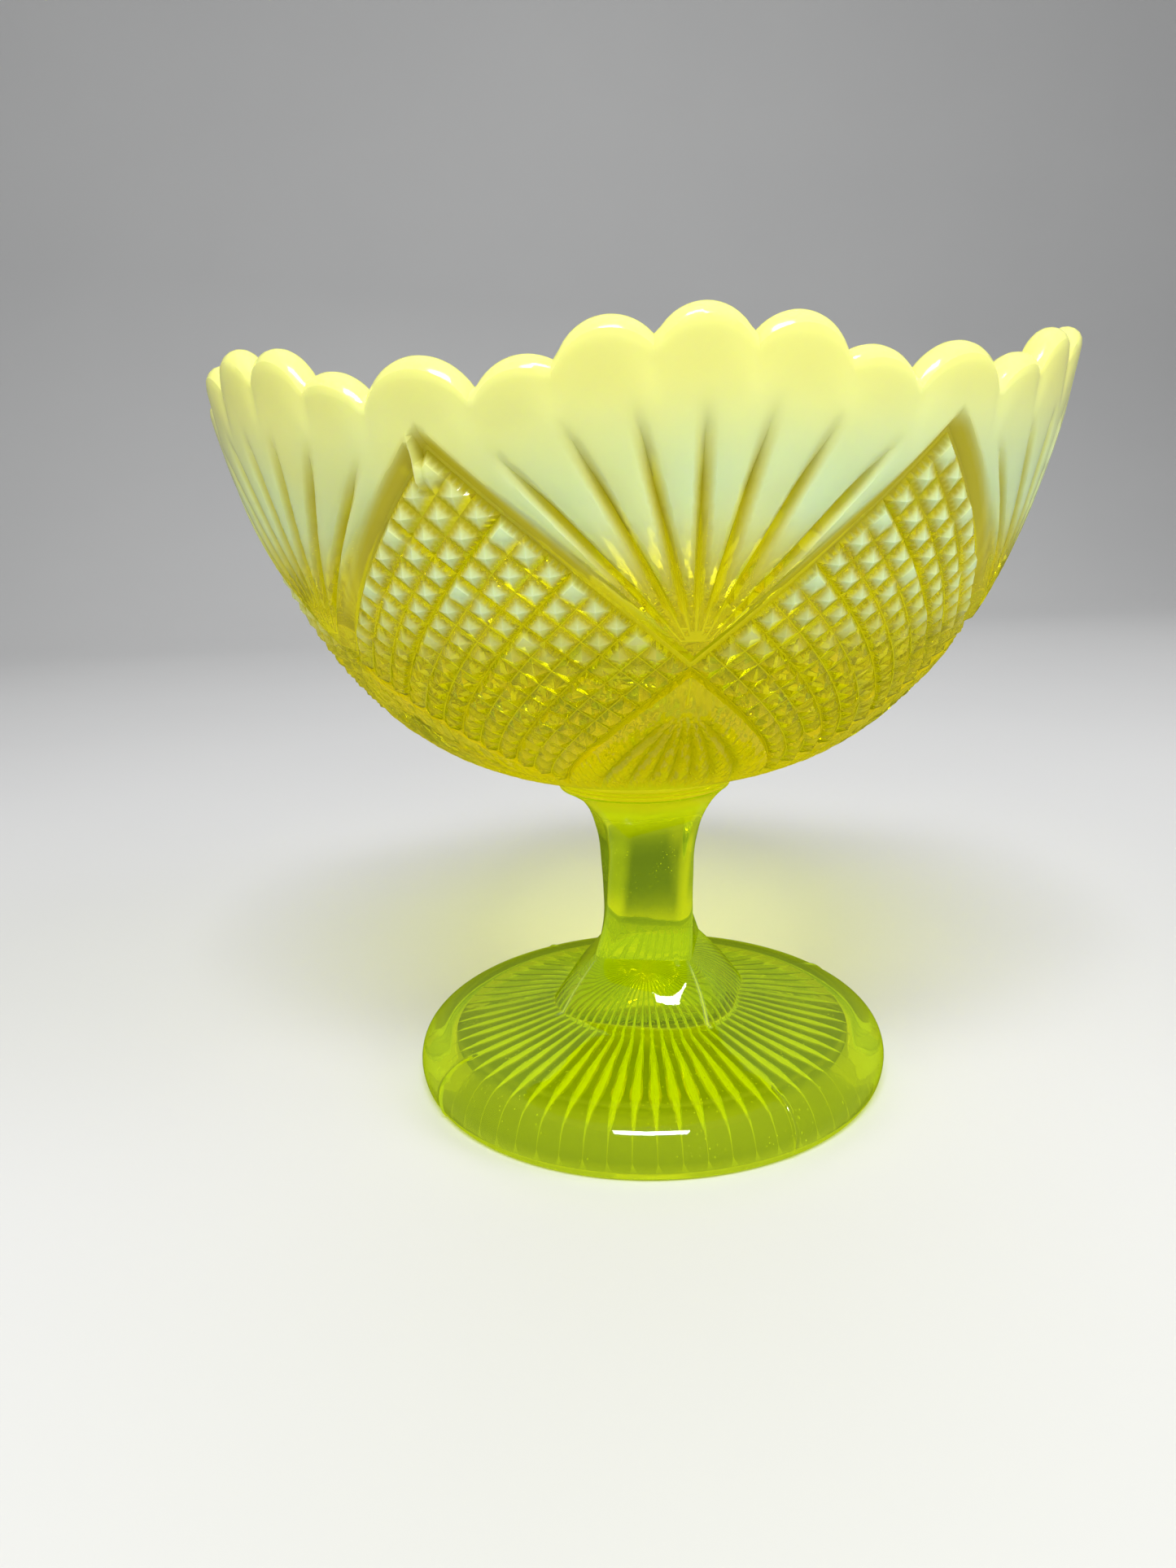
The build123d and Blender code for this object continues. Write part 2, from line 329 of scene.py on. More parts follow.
def upper_fan(x, up):
    """Height, opal, amber, painted highlight line and painted shade (none here) of the fan above
    the side corners.
    """
    reach_up = up - FAN_APEX_UP
    reach = np.hypot(x, reach_up)
    lobe, to_flute = fan_lobes(x, reach_up, up + BORDER_MIDDLE - BORDER_FAN_SIDE)
    order = np.clip(np.arctan2(x, reach_up) / FAN_STEP, 0, SIDE_FLUTES)
    end = FLUTE_END + FLUTE_END_GAIN * order**2
    fade = 1 - smoothstep(end - FLUTE_FADE, end, reach)
    grown = smoothstep(*FLUTE_GROWTH, reach)
    half_width = FLUTE_HALF_WIDTH + FLUTE_WIDTH_GAIN * np.clip(reach, 0, 1)
    valley = np.clip(1 - to_flute / half_width, 0, 1)
    height = FAN_TOP - fade * grown * (FLUTE_DEPTH * valley**1.2 + LOBE_DEPTH * (1 - lobe))
    height = height * (1 - smoothstep(*FAN_RUNS_OUT, up))
    shade = (1 - smoothstep(0.2, 1.35, to_flute / half_width)) * fade * grown
    clearing = smoothstep(0.16, 0.62, reach_up - 0.15 * (1 - lobe))
    opal = clearing * (0.55 + 0.35 * np.clip(reach_up, 0, 1)) * (1 - 0.2 * shade)
    amber = np.maximum(0.95 * shade, 0.8 * (1 - clearing))
    # Painted highlight lines along the flutes near the apex
    line = ridge_line(to_flute) * (1 - smoothstep(0.45, 0.8, reach)) * (reach_up > 0.06)
    return height, opal, amber, line, np.zeros_like(x)


def lower_fan(x, up):
    """The same for the clear fan below them, which points down."""
    reach_down = LOWER_FAN_APEX_UP - up
    reach = np.hypot(x, reach_down)
    lobe, to_flute = fan_lobes(x, reach_down, -up)
    fade = smoothstep(0.05, 0.30, reach) * (1 - smoothstep(0.85, 1.10, -up)) * (reach_down > 0)
    valley = np.clip(1 - to_flute / LOWER_FLUTE_HALF_WIDTH, 0, 1)
    middle_line = ridge_line(x) * (up < -0.03) * (up > LOWER_FAN_APEX_UP)
    fall = LOWER_FLUTE_DEPTH * valley + LOWER_LOBE_DEPTH * (1 - lobe)
    height = LOWER_FAN_TOP - fade * fall - MIDDLE_LINE_DEPTH * middle_line
    height = height + 0.25 * ripples(9 * x, 4 * up)
    # Painted highlight lines along the flutes and the middle line
    line = np.maximum(0.55 * ridge_line(to_flute) * fade, middle_line)
    # Painted shade beside the flutes
    painted_shade = 0.5 * (1 - np.clip(to_flute / 0.09, 0, 1)) * fade
    return height, np.zeros_like(x), np.full_like(x, 0.8), line, painted_shade


def diamond(x, up):
    """The same for the lattice of hobnails between mitre grooves."""
    rising = x - up
    falling = x + up
    cell_left = rising / MITRE_SPACING % 1
    cell_right = 1 - falling / MITRE_SPACING % 1
    cut = 0.25 + 0.75 * smoothstep(0.05, 0.75, cell_left + cell_right)
    across_nail = np.minimum(triangle_wave(rising, HOBNAIL), triangle_wave(falling, HOBNAIL))
    nail = 1 - cut * (1 - across_nail)
    to_mitre = np.min([
        np.abs(edge - np.round(edge / MITRE_SPACING) * MITRE_SPACING) for edge in (rising, falling)
    ], axis=0)
    in_mitre = np.clip(1 - to_mitre / MITRE_HALF_WIDTH, 0, 1)
    foot = HOBNAIL_TOP - HOBNAIL_HEIGHT
    height = foot + HOBNAIL_HEIGHT * nail
    mitre = foot - MITRE_DEPTH + (1 - in_mitre) * (HOBNAIL_HEIGHT + MITRE_DEPTH)
    height = np.minimum(height, np.where(to_mitre < MITRE_HALF_WIDTH, mitre, height))
    high = smoothstep(-0.05, 0.42, up)
    opal = high * smoothstep(0.12, 0.60, nail) * (1 - in_mitre) * 0.88
    opal = np.maximum(opal, 0.25 * smoothstep(0.35, 0.8, up))
    amber = np.clip(1.25 - 1.5 * nail + in_mitre, 0, 1)
    to_cut = HOBNAIL / 2 * across_nail
    # Painted highlight lines along the hobnails' cuts and the mitre grooves
    line = np.maximum(0.85 * ridge_line(to_cut) * cut, ridge_line(to_mitre))
    # Painted shade on the hobnails' flanks, low down where the glass is clear
    painted_shade = 0.45 * (1 - smoothstep(0.1, 0.75, nail)) * (1 - high)
    return height, opal, amber, line * (1 - 0.7 * smoothstep(0.3, 0.7, up)), painted_shade


def relief(across, up):
    """Height of the pressed pattern above the plain wall, and the glass's look there, with painted
    light.
    """
    x = np.abs(across)
    rising = x - up
    falling = x + up
    in_diamond = (rising >= 0) & (falling >= 0)
    kinds = zip(diamond(x, up), upper_fan(x, up), lower_fan(x, up))
    height, opal, amber, line, painted_shade = (
        np.where(in_diamond, lattice, np.where(up > 0, fan, below)) for lattice, fan, below in kinds
    )

    # Border groove: along the upper edges of the diamonds, running out above their tips
    out = smoothstep(1.02, 1.16, up)
    to_border = np.abs(rising - BORDER_MIDDLE)
    wall = np.where(rising < BORDER_MIDDLE, BORDER_FAN_SIDE, BORDER_LATTICE_SIDE)
    on_wall = np.clip(1 - to_border / wall, 0, 1) * (1 - out) * (up > BORDER_MIDDLE)
    height = height + on_wall * (HOBNAIL_TOP - BORDER_DEPTH - height)
    near = (1 - smoothstep(0.55, 1.25, to_border / wall)) * (1 - out) * (up > 0)
    opal = np.where(up > 0, opal * (1 - near) + 0.8 * near * smoothstep(0.1, 0.6, up), opal)
    amber = np.maximum(amber, near)
    low = 1 - smoothstep(0.5, 0.9, up)
    # Painted highlight lines along the border groove and the diamonds' lower edges
    line = np.maximum(line, ridge_line(to_border) * (up > BORDER_MIDDLE) * low)
    lower_edge = ridge_line(np.abs(falling)) * (up < 0)
    height = height - LOWER_EDGE_DEPTH * lower_edge
    line = np.maximum(line, lower_edge)

    plain = smoothstep(1.02, 1.14, -up)
    band = smoothstep(1.00, 1.19, up)
    height = height * (1 - plain)
    opal = opal + (1 - opal) * smoothstep(0.75, 1.40, up)
    amber = amber * (1 - band)
    return height, opal, amber, line * (1 - plain) * (1 - band), painted_shade * (1 - plain)


def seam_line(azimuth, place, half_width):
    """1 on four lines that start at a place in degrees, 0 at half_width degrees from them."""
    turn = (np.degrees(azimuth) - place + 45) % 90 - 45
    return np.clip(1 - np.abs(turn) / half_width, 0, 1)


def seam_sliver(azimuth, up):
    """1 on the short slivers where the mould's seams cross the top of the pattern, else 0."""
    sliver = seam_line(azimuth, MOULD_SEAM, SEAM_HALF_WIDTH)
    return sliver * smoothstep(0.84, 0.90, up) * (1 - smoothstep(1.03, 1.10, up))


def petal_relief(across, z, top):
    """Swelling of each scallop between its notches, dying out below them."""
    azimuth = np.degrees(np.abs(across) * HALF_SECTOR)
    edges = np.array((-NOTCHES[0],) + NOTCHES + (60 - NOTCHES[2],))
    index = np.clip(np.searchsorted(edges, azimuth, side="right") - 1, 0, len(edges) - 2)
    t = (azimuth - edges[index]) / (edges[index + 1] - edges[index])
    swell = 4 * t * (1 - t)
    return 0.7 * (swell - 0.65) * smoothstep(11, 3, top - z)


def fitted_columns(row):
    """Places across of the mesh columns on one side of a fan, moved onto its flutes."""
    up = row / STEPS
    reach = up - FAN_APEX_UP if row > 0 else LOWER_FAN_APEX_UP - up
    edge = min(abs(row), STEPS)
    places = {0: 0.0, edge: edge / STEPS, STEPS: 1.0}
    for line in flute_lines(max(reach, 0))[1:]:
        column = round(line * STEPS)
        if 0 < column < edge - 1 and column not in places:
            places[column] = line
    columns = sorted(places)
    return np.interp(np.arange(STEPS + 1), columns, [places[column] for column in columns])


def bowl_rings():
    """Closed shell of the bowl: patterned outside, rounded lip, smooth inside."""
    columns = 2 * SECTORS * STEPS
    column = np.arange(columns)
    step = (column + STEPS) % (2 * STEPS) - STEPS
    fan_middle = (column - step) * HALF_SECTOR / STEPS
    even = step / STEPS
    top = rim_height(np.abs(even))
    up_end = up_at(top - LIP_RADIUS)
    lip_azimuth = fan_middle + even * HALF_SECTOR

    first = round(LOWEST_UP * STEPS)
    warp_row = round(WARP_START * STEPS)
    rings = []
    for row in range(first, warp_row + WARPED_ROWS + 1):
        fitted = fitted_columns(min(row, warp_row))
        across = np.sign(step) * fitted[np.abs(step)]
        up = np.full(columns, row / STEPS)
        if row > warp_row:
            share = (row - warp_row) / WARPED_ROWS
            up = WARP_START + (up_end - WARP_START) * share
            across = across + (even - across) * share
        azimuth = fan_middle + across * HALF_SECTOR
        z = height_at(up)
        lift, opal, amber, line, painted_shade = relief(across, up)
        lift = lift + petal_relief(across, z, top)
        sliver = seam_sliver(azimuth, up)
        lift = lift + (SEAM_HEIGHT - lift) * sliver
        opal = np.maximum(opal, sliver)
        amber = amber * (1 - sliver)
        out, down = wall_normal(z)
        # Painted glow, stronger towards the bowl's bottom, kept off milky glass
        painted_glow = 0.06 + 0.34 * smoothstep(-0.6, -1.2, up)
        looks = {"opal": opal, "amber": amber, "bright": line, "shade": painted_shade}
        looks["painted_glow"] = painted_glow * (1 - opal)
        rings.append(Ring(wall_radius(z) + lift * out, z + lift * down, azimuth, **looks))

    # Flat base below the pattern, with painted glow
    base = [Ring(r, BASE_Z + z, rings[0].azimuth, painted_glow=0.45) for r, z in BOWL_BASE_OUTLINE]

    # Lip: half a circle from the outside over to the inside
    z_end = height_at(up_end)
    out, down = wall_normal(z_end)
    middle_r = wall_radius(z_end) - LIP_RADIUS * out
    middle_z = z_end - LIP_RADIUS * down
    start_r = rings[-1].radius - middle_r
    start_z = rings[-1].height - middle_z
    for lip_step in range(1, LIP_STEPS + 1):
        turn = math.pi * lip_step / LIP_STEPS
        r = middle_r + math.cos(turn) * start_r - math.sin(turn) * LIP_RADIUS * down
        z = middle_z + math.cos(turn) * start_z + math.sin(turn) * LIP_RADIUS * out
        rings.append(Ring(r, z, lip_azimuth, opal=1.0))

    # Inside: the wall set in by a thickness that grows towards the floor
    for row in range(1, INNER_ROWS + 1):
        up = up_end + (LOWEST_UP - up_end) * row / INNER_ROWS
        z = height_at(up)
        out, down = wall_normal(z)
        inset = 2 * LIP_RADIUS + FLOOR_EXTRA * smoothstep(0.2, -1.2, up)
        inset = inset + 0.4 * petal_relief(even, z, top)
        inset = inset + INSIDE_WAVES * ripples(lip_azimuth, up) * smoothstep(1.0, 0.3, up)
        opal = 0.9 * smoothstep(0.85, 1.25, up)
        rings.append(Ring(wall_radius(z) - inset * out, z - inset * down, lip_azimuth, opal=opal))
    last = rings[-1]
    for share in (0.6, 0.25):
        z = last.height - 0.8 * (1 - share)
        rings.append(Ring(last.radius * share, z, lip_azimuth))
    return base + rings


def ripples(azimuth, up):
    """Slow waves that fire polishing leaves on pressed glass, between -1 and 1."""
    wide = np.sin(7 * azimuth + 2.3 * up) * np.sin(5.1 * up + 1.7)
    narrow = np.sin(13 * azimuth - 6.1 * up + 0.8)
    return (wide + narrow) / 2


def ring_points(rings):
    """Points of the rings in metres, then one point at each end of the axis."""
    r = np.array([ring.radius for ring in rings])
    z = np.array([ring.height for ring in rings])
    azimuth = np.array([ring.azimuth for ring in rings])
    points = np.stack([r * np.sin(azimuth), -r * np.cos(azimuth), z], -1).reshape(-1, 3)
    ends = np.array([[0, 0, np.mean(z[0])], [0, 0, np.mean(z[-1])]])
    return np.vstack([points, ends]) * MM


def ring_faces(rings, columns, falling_diagonal):
    """Triangles between the rings and to the two end points."""
    j = np.arange(columns)
    j_next = (j + 1) % columns
    start_point = rings * columns
    end_point = start_point + 1
    last = (rings - 1) * columns
    faces = [
        np.stack([np.full(columns, start_point), j_next, j], -1),
        np.stack([np.full(columns, end_point), last + j, last + j_next], -1),
    ]
    row = np.arange(rings - 1)[:, None] * columns
    low_left = row + j
    low_right = row + j_next
    high_left = low_left + columns
    high_right = low_right + columns
    falling = falling_diagonal[:, :, None]
    first = np.where(
        falling,
        np.stack([low_left, low_right, high_left], -1),
        np.stack([low_left, low_right, high_right], -1),
    )
    second = np.where(
        falling,
        np.stack([low_right, high_right, high_left], -1),
        np.stack([low_left, high_right, high_left], -1),
    )
    faces += [first.reshape(-1, 3), second.reshape(-1, 3)]
    return np.vstack(faces)


def make_glass(name, rings, falling_diagonal=None, sharp_angle=24):
    """Closed mesh through the rings, with their looks as attributes."""
    columns = len(rings[0].azimuth)
    if falling_diagonal is None:
        falling_diagonal = np.zeros((len(rings) - 1, columns), dtype=bool)
    mesh = bpy.data.meshes.new(name)
    faces = ring_faces(len(rings), columns, falling_diagonal)
    mesh.from_pydata(ring_points(rings).tolist(), [], faces.tolist())
    for key in LOOKS:
        values = np.array([getattr(ring, key) for ring in rings], dtype=np.float32)
        layer = mesh.attributes.new(key, "FLOAT", "POINT")
        layer.data.foreach_set("value", np.append(values.ravel(), (values[0, 0], values[-1, 0])))
    mesh.shade_smooth()
    mesh.set_sharp_from_angle(angle=math.radians(sharp_angle))
    mesh.validate()
    mesh.update()
    obj = bpy.data.objects.new(name, mesh)
    bpy.context.scene.collection.objects.link(obj)
    return obj


def make_bowl():
    rings = bowl_rings()
    rings[0].joint = rings[0].joint + 1
    columns = len(rings[0].azimuth)
    step = (np.arange(columns) + STEPS) % (2 * STEPS) - STEPS
    column = np.where(step >= 0, step, -step - 1)
    row = (np.arange(len(rings) - 1) + round(LOWEST_UP * STEPS) - len(BOWL_BASE_OUTLINE))[:, None]
    falling = (column + row) % 2 == 1
    falling = np.where(column + 1 <= row, False, falling)
    falling = np.where(column + 1 <= -row - 1, True, falling)
    falling = np.where(step >= 0, falling, ~falling)
    return make_glass("bowl_glass", rings, falling)


def hermite(t):
    """Weights of start point, start slope, end point and end slope at a share of the way."""
    return 2 * t**3 - 3 * t**2 + 1, t**3 - 2 * t**2 + t, -2 * t**3 + 3 * t**2, t**3 - t**2


def blend_sections(sections, z):
    """Smooth values between listed sections, the first entry of each being its height."""
    table = np.array(sections)
    slopes = np.gradient(table[:, 1:], table[:, 0], axis=0)
    index = int(np.clip(np.searchsorted(table[:, 0], z, side="right") - 1, 0, len(table) - 2))
    gap = table[index + 1, 0] - table[index, 0]
    start, start_pull, end, end_pull = hermite((z - table[index, 0]) / gap)
    return (
        start * table[index, 1:]
        + start_pull * gap * slopes[index]
        + end * table[index + 1, 1:]
        + end_pull * gap * slopes[index + 1]
    )


def rounded_square(azimuth, half_width, corner_radius, corner_azimuth):
    """Radius of a square with rounded corners, one of them at minus corner_azimuth degrees."""
    quarter = math.pi / 2
    from_corner = (azimuth + math.radians(corner_azimuth) + quarter / 2) % quarter - quarter / 2
    from_flat = quarter / 2 - np.abs(from_corner)
    corner_radius = min(corner_radius, half_width * 0.999)
    flat_end = math.atan2(half_width - corner_radius, half_width)
    reach = (half_width - corner_radius) * math.sqrt(2)
    under = np.maximum(corner_radius**2 - (reach * np.sin(from_corner)) ** 2, 0)
    corner = reach * np.cos(from_corner) + np.sqrt(under)
    return np.where(from_flat < flat_end, half_width / np.cos(from_flat), corner)


def spindle_width(r):
    """Half width of a pressed ray, as a share of half the space that it has."""
    grow = 0.35 + 0.37 * smoothstep(RAY_INNER, RAY_WIDEST, r)
    return grow * np.clip((RAY_OUTER - r) / (RAY_OUTER - RAY_WIDEST), 0, 1)


def ray_columns(width):
    """Azimuths of the mesh columns, with the edges of every ray on a column."""
    part = np.arange(RAYS * RAY_COLUMNS) % RAY_COLUMNS
    half = RAY_COLUMNS // 2
    offset = np.where(part > half, RAY_COLUMNS - part, part)
    edge = half // 2
    inner = width * offset / edge
    outer = width + (1 - width) * (offset - edge) / (half - edge)
    place = np.where(offset <= edge, inner, outer) * np.where(part > half, -1, 1)
    from_middle = np.where(part > half, part - RAY_COLUMNS, part)
    middle = (np.arange(RAYS * RAY_COLUMNS) - from_middle) / RAY_COLUMNS
    return (middle + place / 2) * 2 * math.pi / RAYS, offset


def make_pedestal():
    """Twisted square stem, flared foot and its hollow underside with pressed rays."""
    azimuth = ray_columns(0.5)[0]
    stem_base = STEM_SECTIONS[0]
    top_section = rounded_square(azimuth, *STEM_SECTIONS[-1][1:])
    rings = [
        Ring(top_section - 0.5, WAFER_Z - JOINT_GAP, azimuth, joint=1.0),
        # Painted glow at the top of the stem
        Ring(top_section - 0.1, WAFER_Z - 0.3, azimuth, painted_glow=0.5),
    ]
    for step in range(1, STEM_ROWS + 1):
        z = WAFER_Z + (stem_base[0] - WAFER_Z) * step / STEM_ROWS
        section = blend_sections(STEM_SECTIONS, z)
        # Painted glow towards the top of the stem, and painted shade darkening the middle of its
        # flat faces half way up
        corner = np.cos(4 * (azimuth + math.radians(section[2])))
        painted_shade_core = smoothstep(0.95, 0.3, corner) * smoothstep(66, 58, z) * smoothstep(38, 46, z)
        looks = {"painted_glow": 0.5 * smoothstep(62, 71, z), "shade": STEM_PAINTED_SHADE * painted_shade_core}
        rings.append(Ring(rounded_square(azimuth, *section), z, azimuth, **looks))
    fold = rounded_square(azimuth, *stem_base[1:])
    flare_end = rounded_square(azimuth, *FLARE_SECTION[1:])
    for step in range(1, FLARE_ROWS + 1):
        t = step / FLARE_ROWS
        z = stem_base[0] + (FLARE_SECTION[0] - stem_base[0]) * t
        corner = stem_base[3] + (FLARE_SECTION[3] - stem_base[3]) * t
        # Painted highlights: lit, partly milky lines along the flare's corners, and a lit line
        # round its lower edge
        ridge_highlight = seam_line(azimuth, -corner, RIDGE_HALF_WIDTH) * smoothstep(0, 0.2, t)
        painted_crease_line = 0.6 if step == FLARE_ROWS else 0.0
        r = fold + (flare_end - fold) * t + FLARE_BULGE * math.sin(math.pi * t)
        rings.append(Ring(r, z, azimuth, bright=np.maximum(ridge_highlight, painted_crease_line), opal=0.4 * ridge_highlight))
    foot_seam = seam_line(azimuth, MOULD_SEAM + STEM_TWIST, FOOT_SEAM_HALF_WIDTH)
    for r, z in foot_outline():
        seam = FOOT_SEAM_HEIGHT * foot_seam * smoothstep(47, 51, r) * (z > 0.5)
        # Painted highlight lines round the bend between cone and rim, along the rim's lower edge
        # and on the mould seam, and painted glow on the rim
        painted_crease_line = 0.62 * math.exp(-(r - RIM_CREASE) ** 2) * (z > 10)
        painted_crease_line = painted_crease_line + 0.8 * (z < 2.5) * (r > 56)
        looks = {"bright": np.maximum(2 * seam, painted_crease_line), "painted_glow": 0.2 * smoothstep(49, 54, r)}
        # Painted shade on the ring that the foot stands on
        looks["shade"] = 0.8 * (z < 0.3)
        r = r + seam * smoothstep(13, 8, z)
        rings.append(Ring(r, z + seam * smoothstep(6, 11, z), azimuth, **looks))
    for r, z in recess_outline():
        width = spindle_width(r)
        columns, offset = ray_columns(max(width, 0.02))
        depth = RAY_DEPTH * min(1, width / 0.5) * smoothstep(0, RAY_INNER, r)
        rise = depth * np.clip(1 - offset / (RAY_COLUMNS // 4), 0, 1)
        # Painted highlight on the pressed rays, and painted shade in the gaps between them
        in_ray = np.where(offset < RAY_COLUMNS // 4, 1.0, 0.0)
        lit = in_ray * smoothstep(0.03, 0.2, width)
        gap = (1 - in_ray) * smoothstep(RAY_INNER, 28, r)
        rings.append(Ring(r, z + rise, columns, bright=lit, shade=GAP_PAINTED_SHADE * gap))
    rings.reverse()
    return make_glass("pedestal_glass", rings)


def curve_through(points, steps):
    """Smooth curve through the points, steps pieces between each pair."""
    table = np.array(points)
    tangents = np.gradient(table, axis=0)
    out = []
    for index in range(len(table) - 1):
        for step in range(steps):
            start, start_pull, end, end_pull = hermite(step / steps)
            out.append(
                start * table[index]
                + start_pull * tangents[index]
                + end * table[index + 1]
                + end_pull * tangents[index + 1]
            )
    return out + [table[-1]]


def foot_outline():
    """Top of the foot from the flare outwards, round its thick rim and in to the recess."""
    rim = curve_through(FOOT_RIM, FOOT_RIM_STEPS)
    return list(FOOT_CONE) + [tuple(point) for point in rim[1:]] + list(FOOT_REST)


def recess_outline():
    """Underside of the foot, from the ring it stands on up into the hollow of the stem."""
    wall_r, wall_z = RECESS_WALL[-1]
    bend_r, bend_z = RECESS_BEND
    slope = []
    for r in np.linspace(46.4, bend_r, RECESS_SLOPE_ROWS):
        slope.append((r, wall_z + (wall_r - r) * (bend_z - wall_z) / (wall_r - bend_r)))
    dome = []
    for t in np.linspace(0.12, 0.97, RECESS_DOME_ROWS):
        turn = t * math.pi / 2
        dome.append((bend_r * math.cos(turn), bend_z + (RECESS_TOP - bend_z) * math.sin(turn)))
    return list(RECESS_WALL) + slope + dome


def make_wafer():
    """Short collar that joins bowl and stem, with two soft ridges round its edge."""
    azimuth = np.arange(WAFER_COLUMNS) * 2 * math.pi / WAFER_COLUMNS
    low = WAFER_Z + JOINT_GAP
    high = BASE_Z - JOINT_GAP
    outline = [(JOINT_RADIUS, low), (20.3, low), (20.7, low + 0.2), (WAFER_RADIUS, low + 0.6)]
    outline += [(20.7, low + 0.95), (20.55, low + 1.05), (20.75, low + 1.2)]
    outline += [(WAFER_RADIUS, high - 0.5), (20.7, high - 0.15), (20.4, high), (JOINT_RADIUS, high)]
    # Painted glow all over the collar
    rings = [Ring(r, z, azimuth, painted_glow=0.5) for r, z in outline]
    for ring in (rings[0], rings[-1]):
        ring.joint = ring.joint + 1
    return make_glass("wafer_glass", rings)


class Nodes:
    """Short way to add and link shader nodes in one material."""

    def __init__(self, name):
        self.material = bpy.data.materials.new(name)
        self.material.use_nodes = True
        self.tree = self.material.node_tree
        self.tree.nodes.clear()
        self.output = self.tree.nodes.new("ShaderNodeOutputMaterial")

    def add(self, kind, inputs=(), **settings):
        node = self.tree.nodes.new(kind)
        for key, value in settings.items():
            setattr(node, key, value)
        for key, value in dict(inputs).items():
            if isinstance(value, bpy.types.NodeSocket):
                self.tree.links.new(value, node.inputs[key])
            else:
                node.inputs[key].default_value = value
        return node

    def link(self, node, socket):
        self.tree.links.new(node.outputs[0], socket)

    def mix_shader(self, factor, first, second):
        inputs = {0: factor, 1: first.outputs[0], 2: second.outputs[0]}
        return self.add("ShaderNodeMixShader", inputs)

    def math(self, operation, a, b=0.0, clamp=False):
        node = self.add("ShaderNodeMath", {0: a, 1: b}, operation=operation, use_clamp=clamp)
        return node.outputs[0]

    def mix_color(self, factor, a, b):
        node = self.add("ShaderNodeMix", {0: factor, 6: a, 7: b}, data_type="RGBA")
        return node.outputs[2]

    def noise(self, position, scale, detail):
        inputs = {"Vector": position, "Scale": scale, "Detail": detail}
        return self.add("ShaderNodeTexNoise", inputs).outputs["Fac"]

    def ramp(self, value, low, high):
        """From 0 at low to 1 at high, softly. Runs backwards if low is above high."""
        inputs = {"Value": value, "From Min": low, "From Max": high}
        node = self.add("ShaderNodeMapRange", inputs, interpolation_type="SMOOTHSTEP")
        return node.outputs["Result"]


